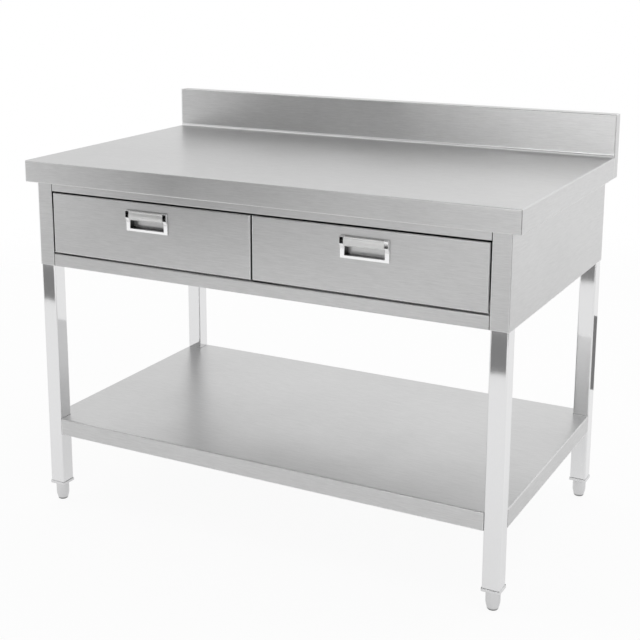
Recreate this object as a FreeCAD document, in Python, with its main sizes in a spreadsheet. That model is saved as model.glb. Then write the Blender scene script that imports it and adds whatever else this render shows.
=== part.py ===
"""Stainless steel worktable with a backsplash, two drawers on telescopic slides and a lower shelf.

Millimetres. Z = 0 is the floor, X runs along the table, the drawers open towards -Y.
The origin lies on the floor under the middle of the table.
"""

import FreeCAD
import Part
import os
import re
import Sketcher

document = FreeCAD.newDocument("stainless_worktable")

# Driving sizes
SIZES = {
    # worktop and backsplash
    "table_length": 1200,
    "table_depth": 700,
    "table_height": 850,
    "top_sheet": 1.5,
    "skirt_height": 50,
    "top_hem": 12,
    "splash_height": 100,
    "splash_thickness": 30,
    "splash_cove": 6,
    "stiffener_height": 25,
    "stiffener_crown": 40,
    "stiffener_flange": 15,
    "stiffener_spacing": 300,
    "stiffener_gap": 0.9,
    # folds and seams
    "bend_radius": 1,
    "seam": 0.3,
    "post_seam": 0.6,
    # drawer housing
    "side_inset": 22.5,
    "front_inset": 16.5,
    "rear_inset": 14,
    "housing_sheet": 1.2,
    "post_width": 40,
    "top_rail_height": 69.5,
    "opening_height": 149.5,
    "bottom_rail_height": 29.5,
    "rail_return": 35,
    "panel_return": 20,
    "side_flange": 15,
    # centre divider and slide brackets
    "divider_width": 20,
    "divider_flange": 15,
    "divider_setback": 1.5,
    "bracket_sheet": 1.5,
    "bracket_height": 80,
    "bracket_flange": 20,
    # legs and feet
    "leg_width": 38,
    "leg_wall": 1.2,
    "leg_corner": 2.5,
    "leg_end": 50,
    "plug_clearance": 0.2,
    "plug_height": 30,
    "plug_flange_lip": 1.7,
    "plug_flange_height": 6,
    "plug_corner": 3,
    "foot_radius": 15.5,
    "foot_taper_height": 17,
    "foot_toe_radius": 11.5,
    "stem_radius": 6,
    "stem_clearance": 0.08,
    "stem_length": 50,
    # shelf
    "shelf_height": 216,
    "shelf_edge": 40,
    "shelf_sheet": 1.2,
    "shelf_hem": 12,
    "notch_gap": 0.5,
    "shelf_stiffener_height": 22,
    "corner_bracket_sheet": 2,
    "corner_bracket_height": 33,
    "stud_radius": 3,
    "stud_tail": 1.5,
    "nut_radius": 5.8,
    "nut_height": 5,
    # drawers
    "front_gap": 3.5,
    "front_depth": 18,
    "front_bend": 2.5,
    "drawer_sheet": 1,
    "box_lift": 12,
    "box_headroom": 22.5,
    "box_tail": 36.5,
    "box_hem": 8,
    # telescopic slides
    "slide_length": 500,
    "slide_setback": 3.5,
    "slide_rise": 55,
    "slide_height": 45,
    "slide_width": 12.7,
    "slide_sheet": 1.2,
    "outer_reach": 10.2,
    "middle_reach": 11,
    "middle_inset": 2,
    "inner_reach": 8.2,
    "ball_row": 3.6,
    "ball_clearance": 0.1,
    # recessed handles
    "handle_width": 111,
    "handle_height": 48,
    "handle_drop": 18.5,
    "handle_flange": 2.5,
    "handle_side": 10,
    "handle_lower_bar": 6,
    "handle_upper_bar": 6,
    "handle_corner": 1.5,
    "cup_depth": 16.4,
    "cup_wall": 1.4,
    "cup_clearance": 0.4,
    "ear_height": 25,
    "ear_step": 7,
    "ear_round": 2.6,
    "ear_width": 9.4,
    "pivot_radius": 1.25,
    "pivot_clearance": 0.06,
    "pivot_engagement": 6,
    "knuckle_radius": 2.4,
    "knuckle_gap": 0.3,
    "grip_end_gap": 0.4,
    "grip_curve": 22,
    "grip_sheet": 1.3,
    "grip_bulge": 8.4,
    "grip_length": 17.6,
    "lip_radius": 1.5,
    "lip_setback": 2.3,
    "handle_screw_radius": 2,
    "handle_screw_head_radius": 3.8,
    "handle_screw_head_height": 2.2,
    # holes for screws and studs
    "screw_clearance": 0.15,
}

# Places worked out from the driving sizes
PLACES = {
    # worktop
    "half_length": "table_length / 2",
    "front_face": "-table_depth / 2",
    "rear_face": "table_depth / 2",
    "top_under": "table_height - top_sheet",
    "skirt_bottom": "table_height - skirt_height",
    "splash_front": "rear_face - splash_thickness",
    "splash_top": "table_height + splash_height",
    "top_inner": "half_length - top_sheet",
    "top_fold": "bend_radius + top_sheet",
    # drawer housing
    "housing_side": "half_length - side_inset",
    "housing_front": "front_face + front_inset",
    "housing_rear": "rear_face - rear_inset",
    "post_inner": "housing_side - post_width",
    "rail_end": "post_inner - post_seam",
    "opening_top": "top_under - top_rail_height",
    "opening_bottom": "opening_top - opening_height",
    "housing_bottom": "opening_bottom - bottom_rail_height",
    "panel_inner": "housing_side - housing_sheet",
    # legs
    "leg_outer": "panel_inner",
    "leg_inner": "leg_outer - leg_width",
    "leg_front": "housing_front + housing_sheet",
    "leg_rear": "housing_rear - housing_sheet",
    "leg_x": "leg_outer - leg_width / 2",
    "leg_front_y": "leg_front + leg_width / 2",
    "leg_rear_y": "leg_rear - leg_width / 2",
    "leg_front_back": "leg_front + leg_width",
    "leg_rear_front": "leg_rear - leg_width",
    "leg_top": "top_under - seam",
    "plug_flange_bottom": "leg_end - plug_flange_height",
    "plug_half": "leg_width / 2 - leg_wall - plug_clearance",
    "foot_top": "plug_flange_bottom - seam",
    # drawers and slides
    "front_bottom": "opening_bottom + front_gap",
    "front_top": "opening_top - front_gap",
    "front_outer": "post_inner - front_gap",
    "front_inner": "front_gap / 2",
    "front_back": "housing_front + front_depth",
    "front_x": "(front_outer + front_inner) / 2",
    "divider_half": "divider_width / 2",
    "divider_front": "front_back + divider_setback",
    "divider_rear": "leg_rear - housing_sheet",
    "bracket_face": "leg_inner - bracket_sheet",
    "box_bottom": "opening_bottom + box_lift",
    "box_top": "opening_top - box_headroom",
    "box_inner": "divider_half + slide_width",
    "box_outer": "bracket_face - slide_width",
    "slide_z": "box_bottom + slide_rise",
    "slide_front": "front_back + slide_setback",
    "slide_rear": "slide_front + slide_length",
    "box_rear": "slide_rear + box_tail",
    "outer_half": "slide_height / 2",
    "middle_half": "outer_half - slide_sheet - ball_row",
    "inner_half": "middle_half - slide_sheet - ball_row",
    # shelf
    "shelf_under": "shelf_height - shelf_sheet",
    "shelf_bottom": "shelf_height - shelf_edge",
    "corner_bracket_bottom": "shelf_under - corner_bracket_height",
    "stud_z": "shelf_under - corner_bracket_height / 2",
    # handles
    "handle_top": "front_top - handle_drop",
    "handle_bottom": "handle_top - handle_height",
    "handle_face": "housing_front - handle_flange",
    "cup_half": "handle_width / 2 - handle_side",
    "cup_low": "handle_bottom + handle_lower_bar",
    "cup_high": "handle_top - handle_upper_bar",
    "cup_back": "housing_front + cup_depth",
    "pivot_y": "handle_face - knuckle_gap - knuckle_radius",
    "pivot_z": "handle_top - knuckle_gap - knuckle_radius",
    "ear_face": "pivot_y - ear_round",
    "ear_low": "handle_top - ear_height",
    "ear_screw_x": "cup_half + cup_wall + cup_clearance + handle_screw_head_radius",
    "ear_screw_z": "handle_top - ear_height / 2",
    "grip_half": "cup_half - grip_end_gap",
    "grip_face": "housing_front - grip_bulge",
    "grip_axis_y": "grip_face + grip_curve",
    "grip_axis_z": "pivot_z - grip_length / 2",
    "lip_z": "pivot_z - grip_length",
    "lip_y": "grip_face + lip_setback",
    "handle_screw_length": "handle_flange + drawer_sheet + ear_round",
}

sizes = document.addObject("Spreadsheet::Sheet", "Sizes")
for row, (name, number) in enumerate(SIZES.items(), start=1):
    sizes.set(f"A{row}", name)
    sizes.set(f"B{row}", str(number))
    sizes.setAlias(f"B{row}", name)


def cell(text):
    """The text as an expression: each named size or place gets its sheet's name in front."""

    def owned(word):
        if word[0] in SIZES:
            return "Sizes." + word[0]
        if word[0] in PLACES:
            return "Places." + word[0]
        return word[0]

    return re.sub(r"[a-z]\w*", owned, text)


places = document.addObject("Spreadsheet::Sheet", "Places")
for row, (name, text) in enumerate(PLACES.items(), start=1):
    places.set(f"A{row}", name)
    places.set(f"B{row}", "=" + cell(text))
    places.setAlias(f"B{row}", name)
document.recompute()


def value(text):
    """The number that the text stands for now."""
    return float(places.evalExpression(cell(text)))


# What the three planes of a body mean: the fixed axis, the sketch's two axes, and its normal's sign
PLANES = {
    "XY_Plane": ("z", "x", "y", 1),
    "XZ_Plane": ("y", "x", "z", -1),
    "YZ_Plane": ("x", "y", "z", 1),
}
TOLERANCE = 0.001
nodes = []


def new_body(label):
    """An empty body for one sub-part."""
    body = document.addObject("PartDesign::Body", label)
    body.Label = label
    nodes.append(body)
    return body


def new_sketch(body, plane, height):
    """A sketch on one of the body's own origin planes, moved to a height along the fixed axis."""
    made = body.newObject("Sketcher::SketchObject", "Profile")
    origin = [each for each in body.Origin.OriginFeatures if each.Role == plane]
    made.AttachmentSupport = [(origin[0], "")]
    made.MapMode = "FlatFace"
    sign = PLANES[plane][3]
    made.setExpression("AttachmentOffset.Base.z", cell(f"{sign} * ({height})"))
    return made


def bind_point(sketch, line, end, u, v):
    """Ties one point of a sketch to two expressions."""
    for kind, text in (("DistanceX", u), ("DistanceY", v)):
        number = sketch.addConstraint(Sketcher.Constraint(kind, line, end, value(text)))
        sketch.setExpression(f"Constraints[{number}]", cell(text))


def draw_outline(sketch, corners):
    """A closed outline of straight lines whose corners are tied to the sheet."""
    points = [FreeCAD.Vector(value(u), value(v), 0) for u, v in corners]
    following = points[1:] + points[:1]
    sketch.addGeometry([Part.LineSegment(a, b) for a, b in zip(points, following)])
    last = len(points) - 1
    for line in range(len(points)):
        after = 0 if line == last else line + 1
        sketch.addConstraint(Sketcher.Constraint("Coincident", line, 2, after, 1))
    for line, (u, v) in enumerate(corners):
        bind_point(sketch, line, 1, u, v)


def draw_circles(sketch, centres, radius):
    """Circles of one radius, each centre tied to the sheet."""
    for u, v in centres:
        middle = FreeCAD.Vector(value(u), value(v), 0)
        circle = Part.Circle(middle, FreeCAD.Vector(0, 0, 1), value(radius))
        line = sketch.addGeometry(circle)
        bind_point(sketch, line, 3, u, v)
        number = sketch.addConstraint(Sketcher.Constraint("Radius", line, value(radius)))
        sketch.setExpression(f"Constraints[{number}]", cell(radius))


def extrude(body, sketch, plane, start, end, kind):
    """Pads or pockets a sketch from start towards end, which lies further along the fixed axis."""
    before = body.Shape.Volume if body.Tip else 0
    made = body.newObject("PartDesign::" + kind, kind)
    made.Profile = sketch
    made.setExpression("Length", cell(f"({end}) - ({start})"))
    along = PLANES[plane][3] > 0
    made.Reversed = not along if kind == "Pad" else along
    body.Tip = made
    document.recompute()
    grown = body.Shape.Volume - before
    if (grown > 0) != (kind == "Pad") or abs(grown) < TOLERANCE:
        raise RuntimeError(f"{body.Label}: a {kind} from {start} to {end} does nothing")
    return made


def prism(body, plane, corners, start, end, kind="Pad"):
    """A straight-sided block added to or cut from the body."""
    sketch = new_sketch(body, plane, start)
    draw_outline(sketch, corners)
    return extrude(body, sketch, plane, start, end, kind)


def bores(body, plane, centres, radius, start, end, kind="Pocket"):
    """Round holes, or round bars, from start to end."""
    sketch = new_sketch(body, plane, start)
    draw_circles(sketch, centres, radius)
    return extrude(body, sketch, plane, start, end, kind)


def rectangle(u0, v0, u1, v1):
    """The four corners of a rectangle."""
    return [(u0, v0), (u1, v0), (u1, v1), (u0, v1)]


def edges_at(body, plane, spots):
    """Names of the edges that run along the fixed axis through the given spots."""
    _, first, second, _ = PLANES[plane]
    found = []
    wanted = [(value(u), value(v)) for u, v in spots]
    for number, edge in enumerate(body.Shape.Edges, start=1):
        ends = [(getattr(p.Point, first), getattr(p.Point, second)) for p in edge.Vertexes]
        if len(ends) < 2:
            continue
        for u, v in wanted:
            if all(abs(a - u) < TOLERANCE and abs(b - v) < TOLERANCE for a, b in ends):
                found.append(f"Edge{number}")
    return found


def round_edges(body, names, radius):
    """Rounds the named edges of the body's last feature."""
    if not names:
        raise RuntimeError(f"{body.Label}: no edges to round by {radius}")
    base = body.Tip
    made = body.newObject("PartDesign::Fillet", "Fillet")
    made.Base = (base, names)
    made.setExpression("Radius", cell(radius))
    body.Tip = made
    document.recompute()
    if "Invalid" in made.State:
        raise RuntimeError(f"{body.Label}: rounding by {radius} fails on {names}")
    return made


def folded(body, plane, path, side, start, end, sheet, rounded=True):
    """A strip of sheet folded along a path of square turns, its bends rounded outside or square.

    The path is one face of the sheet. The sheet lies on the path's left if side is 1 and on
    its right if side is -1.
    """
    spots = [(value(u), value(v)) for u, v in path]
    steps = []
    for (u0, v0), (u1, v1) in zip(spots, spots[1:]):
        length = max(abs(u1 - u0), abs(v1 - v0))
        steps.append((round((u1 - u0) / length), round((v1 - v0) / length)))
    normals = [(-dv * side, du * side) for du, dv in steps]
    offset = []
    bends = []
    for number, (u, v) in enumerate(path):
        near = {normals[max(number - 1, 0)], normals[min(number, len(steps) - 1)]}
        shift_u = sum(normal[0] for normal in near)
        shift_v = sum(normal[1] for normal in near)
        moved = (f"({u}) + {shift_u} * {sheet}", f"({v}) + {shift_v} * {sheet}")
        offset.append(moved)
        if len(near) > 1:
            (du0, dv0), (du1, dv1) = steps[number - 1], steps[number]
            towards = (du0 * dv1 - dv0 * du1) * side > 0
            bends.append((u, v) if towards else moved)
    prism(body, plane, path + offset[::-1], start, end)
    if rounded:
        round_edges(body, edges_at(body, plane, bends), f"bend_radius + {sheet}")


def fasteners(label, seats, head, shank, tail="0"):
    """A sub-part of equal screws, or of nuts on studs, each a separate solid.

    Each seat is the point under the head and the direction in which the shank points. The head
    and the shank are each a number of sides, a radius and a height, and the shank may stand out
    of the head by a tail.
    """
    made = document.addObject("Part::Compound", label)
    made.Label = label
    nodes.append(made)
    screws = []
    for number, (*place, way) in enumerate(seats, start=1):
        fused = document.addObject("Part::Fuse", f"{label}_{number}")
        behind = f"({head[2]} + {tail})" if value(tail) else "0"
        ends = (
            ("Base", head, -way, "0", head[2]),
            ("Tool", shank, way, behind, f"{shank[2]} + {behind}"),
        )
        for role, (sides, radius, _), along, back, height in ends:
            bar = document.addObject("Part::Prism", f"{label}_{role}_{number}")
            bar.Polygon = sides
            bar.setExpression("Circumradius", cell(radius))
            bar.setExpression("Height", cell(height))
            bar.Placement.Rotation = FreeCAD.Rotation(FreeCAD.Vector(0, 0, 1), along)
            for axis, start, step in zip("xyz", place, way):
                text = cell(f"({start}) - {round(step)} * {back}")
                bar.setExpression(f"Placement.Base.{axis}", text)
            setattr(fused, role, bar)
        screws.append(fused)
    made.Links = screws


NUT_SIDES = 6
SHANK_SIDES = 12
SIDES = (("left", -1), ("right", 1))
ENDS = (("front", 1), ("back", -1))


# Worktop: a folded pan whose rear edge stands up as the backsplash
def make_worktop():
    body = new_body("worktop")
    pan = rectangle("-half_length", "front_face", "half_length", "rear_face")
    prism(body, "XY_Plane", pan, "skirt_bottom", "table_height")
    ends = ("half_length", "-half_length")
    edges = edges_at(body, "XY_Plane", [(x, "front_face") for x in ends])
    edges += edges_at(body, "XZ_Plane", [(x, "table_height") for x in ends])
    edges += edges_at(body, "YZ_Plane", [("front_face", "table_height")])
    round_edges(body, edges, "top_fold")
    splash = rectangle("splash_front", "skirt_bottom", "rear_face", "splash_top")
    prism(body, "YZ_Plane", splash, "-half_length", "half_length")
    prism(body, "YZ_Plane", splash, "-half_length", "-top_inner", "Pocket")
    prism(body, "YZ_Plane", splash, "top_inner", "half_length", "Pocket")
    rims = [("splash_front", "splash_top"), ("rear_face", "splash_top")]
    round_edges(body, edges_at(body, "YZ_Plane", rims), "top_fold")
    cove_front, cove_top = "splash_front - splash_cove", "table_height + splash_cove"
    cove = rectangle(cove_front, "table_height", "splash_front", cove_top)
    cove_ends = ("top_fold - half_length", "half_length - top_fold")
    prism(body, "YZ_Plane", cove, *cove_ends)
    bores(body, "YZ_Plane", [(cove_front, cove_top)], "splash_cove", *cove_ends)
    splash_hollow = rectangle(
        "splash_front + top_sheet", "top_under", "rear_face - top_sheet", "splash_top - top_sheet"
    )
    prism(body, "YZ_Plane", splash_hollow, "-top_inner", "top_inner", "Pocket")
    hollow = rectangle("-top_inner", "front_face + top_sheet", "top_inner", "rear_face - top_sheet")
    prism(body, "XY_Plane", hollow, "skirt_bottom + top_sheet", "top_under", "Pocket")
    mouth = rectangle(
        "-top_inner + top_hem",
        "front_face + top_sheet + top_hem",
        "top_inner - top_hem",
        "rear_face - top_sheet - top_hem",
    )
    prism(body, "XY_Plane", mouth, "skirt_bottom", "skirt_bottom + top_sheet", "Pocket")


# Backsplash ends: plates that close the upstand in line with the side skirts
def make_backsplash_end(side, sign):
    body = new_body(f"backsplash_end_{side}")
    outline = rectangle("splash_front", "skirt_bottom", "rear_face", "splash_top")
    start, end = ("top_inner", "half_length") if sign > 0 else ("-half_length", "-top_inner")
    prism(body, "YZ_Plane", outline, start, end)
    corners = [("splash_front", "splash_top"), ("rear_face", "splash_top")]
    round_edges(body, edges_at(body, "YZ_Plane", corners), "top_fold")


# Hat channels that stiffen a sheet from below
def make_hat_channel(label, y, top, height, half_run, sheet):
    body = new_body(label)
    crown = "stiffener_crown / 2"
    foot = "(stiffener_crown / 2 + stiffener_flange)"
    path = [
        (f"{y} - {foot}", top),
        (f"{y} - {crown}", top),
        (f"{y} - {crown}", f"{top} - {height} + {sheet}"),
        (f"{y} + {crown}", f"{top} - {height} + {sheet}"),
        (f"{y} + {crown}", top),
        (f"{y} + {foot}", top),
    ]
    folded(body, "YZ_Plane", path, -1, f"-({half_run})", half_run, sheet, rounded=False)


# Side panels: folded round the front corner as the post face and round the rear corner
def make_side_panel(side, sign):
    body = new_body(f"side_panel_{side}")
    path = [
        (f"{sign} * post_inner", "housing_front"),
        (f"{sign} * housing_side", "housing_front"),
        (f"{sign} * housing_side", "housing_rear"),
        (f"{sign} * post_inner", "housing_rear"),
    ]
    folded(body, "XY_Plane", path, sign, "housing_bottom", "top_under", "housing_sheet")
    flange = rectangle(
        f"{sign} * panel_inner",
        "leg_front_back + notch_gap",
        f"{sign} * (panel_inner - side_flange)",
        "leg_rear_front - notch_gap",
    )
    upper = "housing_bottom + housing_sheet"
    prism(body, "XY_Plane", flange, "housing_bottom", upper)


# Rails and back panel: channels between the corner posts
def make_back_panel():
    body = new_body("back_panel")
    path = [
        ("housing_rear - panel_return", "housing_bottom"),
        ("housing_rear", "housing_bottom"),
        ("housing_rear", "top_under"),
        ("housing_rear - panel_return", "top_under"),
    ]
    folded(body, "YZ_Plane", path, 1, "-rail_end", "rail_end", "housing_sheet")


def make_front_rail(label, bottom, top):
    body = new_body(label)
    path = [
        ("housing_front + rail_return", bottom),
        ("housing_front", bottom),
        ("housing_front", top),
        ("housing_front + rail_return", top),
    ]
    folded(body, "YZ_Plane", path, -1, "-rail_end", "rail_end", "housing_sheet")


# Centre divider: one sheet folded as a deep U, with flanges on the back panel
def make_centre_divider():
    body = new_body("centre_divider")
    path = [
        ("-(divider_half + divider_flange)", "divider_rear"),
        ("-divider_half", "divider_rear"),
        ("-divider_half", "divider_front"),
        ("divider_half", "divider_front"),
        ("divider_half", "divider_rear"),
        ("divider_half + divider_flange", "divider_rear"),
    ]
    sheet = "housing_sheet"
    folded(body, "XY_Plane", path, 1, "opening_bottom", "opening_top", sheet, rounded=False)


# Slide brackets: channels from front leg to back leg that carry the outer slides
def make_slide_bracket(side, sign):
    body = new_body(f"slide_bracket_{side}")
    low = "slide_z - bracket_height / 2"
    high = "slide_z + bracket_height / 2"
    face = f"{sign} * bracket_face"
    rim = f"{sign} * (leg_inner + bracket_flange)"
    start = "leg_front + seam"
    end = "leg_rear - seam"
    path = [(rim, low), (face, low), (face, high), (rim, high)]
    folded(body, "XZ_Plane", path, -sign, start, end, "bracket_sheet", rounded=False)
    leg_face = f"{sign} * leg_inner"
    at_front = rectangle(leg_face, start, rim, "leg_front_back + notch_gap")
    at_rear = rectangle(leg_face, "leg_rear_front - notch_gap", rim, end)
    for cut in (at_front, at_rear):
        prism(body, "XY_Plane", cut, low, high, "Pocket")


# Legs: square tubes, the brackets welded or bolted to their inner faces
def make_leg(end, facing, side, sign):
    body = new_body(f"leg_{end}_{side}")
    y = f"leg_{'front' if facing > 0 else 'rear'}_y"
    x = f"{sign} * leg_x"
    half = "leg_width / 2"
    outline = rectangle(f"{x} - {half}", f"{y} - {half}", f"{x} + {half}", f"{y} + {half}")
    prism(body, "XY_Plane", outline, "leg_end", "leg_top")
    round_edges(body, edges_at(body, "XY_Plane", outline), "leg_corner")
    bore = "(leg_width / 2 - leg_wall)"
    hollow = rectangle(f"{x} - {bore}", f"{y} - {bore}", f"{x} + {bore}", f"{y} + {bore}")
    prism(body, "XY_Plane", hollow, "leg_end", "leg_top", "Pocket")


# Leg plugs: a square plug pressed into each tube, its flange below, threaded for the foot
def make_leg_plug(end, facing, side, sign):
    body = new_body(f"leg_plug_{end}_{side}")
    y = f"leg_{'front' if facing > 0 else 'rear'}_y"
    x = f"{sign} * leg_x"
    rim = "(leg_width / 2 + plug_flange_lip)"
    flange = rectangle(f"{x} - {rim}", f"{y} - {rim}", f"{x} + {rim}", f"{y} + {rim}")
    prism(body, "XY_Plane", flange, "plug_flange_bottom", "leg_end")
    round_edges(body, edges_at(body, "XY_Plane", flange), "plug_corner")
    half = "plug_half"
    plug = rectangle(f"{x} - {half}", f"{y} - {half}", f"{x} + {half}", f"{y} + {half}")
    prism(body, "XY_Plane", plug, "leg_end", "leg_end + plug_height")
    centre = [(x, y)]
    top = "leg_end + plug_height"
    bores(body, "XY_Plane", centre, "stem_radius + stem_clearance", "plug_flange_bottom", top)


# Levelling feet: bullet-shaped, turned in one piece with their threaded stem
def make_foot(end, facing, side, sign):
    body = new_body(f"foot_{end}_{side}")
    sketch = new_sketch(body, "XZ_Plane", "0")
    profile = [
        ("0", "0"),
        ("foot_toe_radius", "0"),
        ("foot_radius", "foot_taper_height"),
        ("foot_radius", "foot_top"),
        ("stem_radius", "foot_top"),
        ("stem_radius", "foot_top + stem_length"),
        ("0", "foot_top + stem_length"),
    ]
    draw_outline(sketch, profile)
    turned = body.newObject("PartDesign::Revolution", "Revolution")
    turned.Profile = sketch
    turned.ReferenceAxis = (sketch, ["V_Axis"])
    body.Tip = turned
    body.setExpression("Placement.Base.x", cell(f"{sign} * leg_x"))
    body.setExpression("Placement.Base.y", cell(f"leg_{'front' if facing > 0 else 'rear'}_y"))


# Shelf: a folded tray, flush with the legs' outer faces and notched round them
def make_shelf():
    body = new_body("shelf")
    outline = rectangle("-leg_outer", "leg_front", "leg_outer", "leg_rear")
    prism(body, "XY_Plane", outline, "shelf_bottom", "shelf_height")
    notch_x = "leg_inner - notch_gap"
    notch_front = "leg_front_back + notch_gap"
    notch_rear = "leg_rear_front - notch_gap"
    for _, sign in SIDES:
        x0, x1 = f"{sign} * ({notch_x})", f"{sign} * leg_outer"
        for y0, y1 in (("leg_front", notch_front), (notch_rear, "leg_rear")):
            notch = rectangle(x0, y0, x1, y1)
            prism(body, "XY_Plane", notch, "shelf_bottom", "shelf_height", "Pocket")
    rims = edges_at(
        body, "YZ_Plane", [("leg_front", "shelf_height"), ("leg_rear", "shelf_height")]
    )
    rims += edges_at(
        body, "XZ_Plane", [("leg_outer", "shelf_height"), ("-leg_outer", "shelf_height")]
    )
    round_edges(body, rims, "bend_radius + shelf_sheet")
    hollow = rectangle(
        "-leg_outer + shelf_sheet",
        "leg_front + shelf_sheet",
        "leg_outer - shelf_sheet",
        "leg_rear - shelf_sheet",
    )
    hem_top = "shelf_bottom + shelf_sheet"
    prism(body, "XY_Plane", hollow, hem_top, "shelf_under", "Pocket")
    mouth = rectangle(
        "-leg_outer + shelf_sheet + shelf_hem",
        "leg_front + shelf_sheet + shelf_hem",
        "leg_outer - shelf_sheet - shelf_hem",
        "leg_rear - shelf_sheet - shelf_hem",
    )
    prism(body, "XY_Plane", mouth, "shelf_bottom", hem_top, "Pocket")


# Shelf corner brackets: angles under the shelf that wrap each leg's two inner faces, with a hole
# for the leg's stud
def make_corner_bracket(end, facing, side, sign):
    body = new_body(f"shelf_bracket_{end}_{side}")
    inset = "shelf_sheet + seam"
    outer_y = f"leg_front + {inset}" if facing > 0 else f"leg_rear - ({inset})"
    inner_y = "leg_front_back" if facing > 0 else "leg_rear_front"
    path = [
        (f"{sign} * leg_inner", outer_y),
        (f"{sign} * leg_inner", inner_y),
        (f"{sign} * (leg_outer - ({inset}))", inner_y),
    ]
    sheet = "corner_bracket_sheet"
    low = "corner_bracket_bottom"
    folded(body, "XY_Plane", path, sign * facing, low, "shelf_under", sheet, rounded=False)
    radius = "stud_radius + screw_clearance"
    wall = [f"leg_inner - {sheet}", "leg_inner"]
    start, finish = wall if sign > 0 else [f"-({place})" for place in reversed(wall)]
    y = f"leg_{'front' if facing > 0 else 'rear'}_y"
    bores(body, "YZ_Plane", [(y, "stud_z")], radius, start, finish)


# Nuts of the shelf: each on a stud welded to a leg, so that nothing shows on the outside
def make_shelf_nuts():
    sheet = "corner_bracket_sheet"
    seats = []
    for _, sign in SIDES:
        outwards = FreeCAD.Vector(sign, 0, 0)
        for y in ("leg_front_y", "leg_rear_y"):
            seats.append((f"{sign} * (leg_inner - {sheet})", y, "stud_z", outwards))
    nut = (NUT_SIDES, "nut_radius", "nut_height")
    fasteners("shelf_nuts", seats, nut, (SHANK_SIDES, "stud_radius", sheet), "stud_tail")


# Drawer front: a folded pan with an opening for the handle's cup
def make_drawer_front(side, sign):
    body = new_body(f"drawer_{side}_front")
    inner, outer = f"{sign} * front_inner", f"{sign} * front_outer"
    face = rectangle(inner, "front_bottom", outer, "front_top")
    prism(body, "XZ_Plane", face, "housing_front", "front_back")
    rim = edges_at(body, "XY_Plane", [(inner, "housing_front"), (outer, "housing_front")])
    heights = ("front_bottom", "front_top")
    rim += edges_at(body, "YZ_Plane", [("housing_front", height) for height in heights])
    round_edges(body, rim, "front_bend")
    hollow = rectangle(
        f"{inner} + {sign} * drawer_sheet",
        "front_bottom + drawer_sheet",
        f"{outer} - {sign} * drawer_sheet",
        "front_top - drawer_sheet",
    )
    skin = "housing_front + drawer_sheet"
    prism(body, "XZ_Plane", hollow, skin, "front_back", "Pocket")
    room = "(cup_half + cup_wall + cup_clearance)"
    opening = rectangle(
        f"{sign} * front_x - {room}",
        "cup_low - cup_wall - cup_clearance",
        f"{sign} * front_x + {room}",
        "cup_high + cup_wall + cup_clearance",
    )
    prism(body, "XZ_Plane", opening, "housing_front", skin, "Pocket")
    holes = [(f"{sign} * front_x {way} ear_screw_x", "ear_screw_z") for way in ("+", "-")]
    bores(body, "XZ_Plane", holes, "handle_screw_radius + screw_clearance", "housing_front", skin)


# Drawer front liner: a flat sheet that closes the pan from behind, spot-welded to the box
def make_drawer_liner(side, sign):
    body = new_body(f"drawer_{side}_front_liner")
    rim = "(drawer_sheet + seam)"
    sheet = rectangle(
        f"{sign} * (front_inner + {rim})",
        f"front_bottom + {rim}",
        f"{sign} * (front_outer - {rim})",
        f"front_top - {rim}",
    )
    prism(body, "XZ_Plane", sheet, "front_back - drawer_sheet", "front_back")


# Drawer box: a tray with a hem turned inwards along its rim
def make_drawer_box(side, sign):
    body = new_body(f"drawer_{side}_box")
    inner, outer = f"{sign} * box_inner", f"{sign} * box_outer"
    outline = rectangle(inner, "front_back", outer, "box_rear")
    prism(body, "XY_Plane", outline, "box_bottom", "box_top")
    edges = edges_at(body, "YZ_Plane", [("front_back", "box_bottom"), ("box_rear", "box_bottom")])
    edges += edges_at(body, "XZ_Plane", [(inner, "box_bottom"), (outer, "box_bottom")])
    round_edges(body, edges, "bend_radius + drawer_sheet")
    tray = rectangle(
        f"{inner} + {sign} * drawer_sheet",
        "front_back + drawer_sheet",
        f"{outer} - {sign} * drawer_sheet",
        "box_rear - drawer_sheet",
    )
    hem_under = "box_top - drawer_sheet"
    prism(body, "XY_Plane", tray, "box_bottom + drawer_sheet", hem_under, "Pocket")
    mouth = rectangle(
        f"{inner} + {sign} * (drawer_sheet + box_hem)",
        "front_back + drawer_sheet + box_hem",
        f"{outer} - {sign} * (drawer_sheet + box_hem)",
        "box_rear - drawer_sheet - box_hem",
    )
    prism(body, "XY_Plane", mouth, hem_under, "box_top", "Pocket")


def slide_outline(kind, base, way):
    """Cross-section of one slide member, measured from the fixed side at base towards way."""
    sheet = "slide_sheet"
    if kind == "outer":
        tall = "outer_half"
        half = [
            ("outer_reach", tall),
            ("outer_reach", f"{tall} - {sheet}"),
            (sheet, f"{tall} - {sheet}"),
        ]
        back = ("0", tall)
    if kind == "middle":
        tall = "middle_half"
        row = "ball_row - ball_clearance"
        ridge = "(middle_inset + slide_sheet + ball_row)"
        channel = "(middle_reach - slide_sheet - ball_row)"
        half = [
            ("middle_inset + slide_sheet", tall),
            ("middle_inset + slide_sheet", f"{tall} + {row}"),
            (ridge, f"{tall} + {row}"),
            (ridge, tall),
            ("middle_reach", tall),
            ("middle_reach", f"{tall} - {sheet} - ({row})"),
            (channel, f"{tall} - {sheet} - ({row})"),
            (channel, f"{tall} - {sheet}"),
            ("middle_inset + slide_sheet", f"{tall} - {sheet}"),
        ]
        back = ("middle_inset", tall)
    if kind == "inner":
        tall = "inner_half"
        half = [
            ("slide_width - inner_reach", tall),
            ("slide_width - inner_reach", f"{tall} - {sheet}"),
            (f"slide_width - {sheet}", f"{tall} - {sheet}"),
        ]
        back = ("slide_width", tall)
    upper = [back] + half
    spots = [(across, up, "+") for across, up in upper]
    spots += [(across, up, "-") for across, up in reversed(upper)]
    return [(f"{base} + {way} * ({u})", f"slide_z {sign} ({v})") for u, v, sign in spots]


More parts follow.
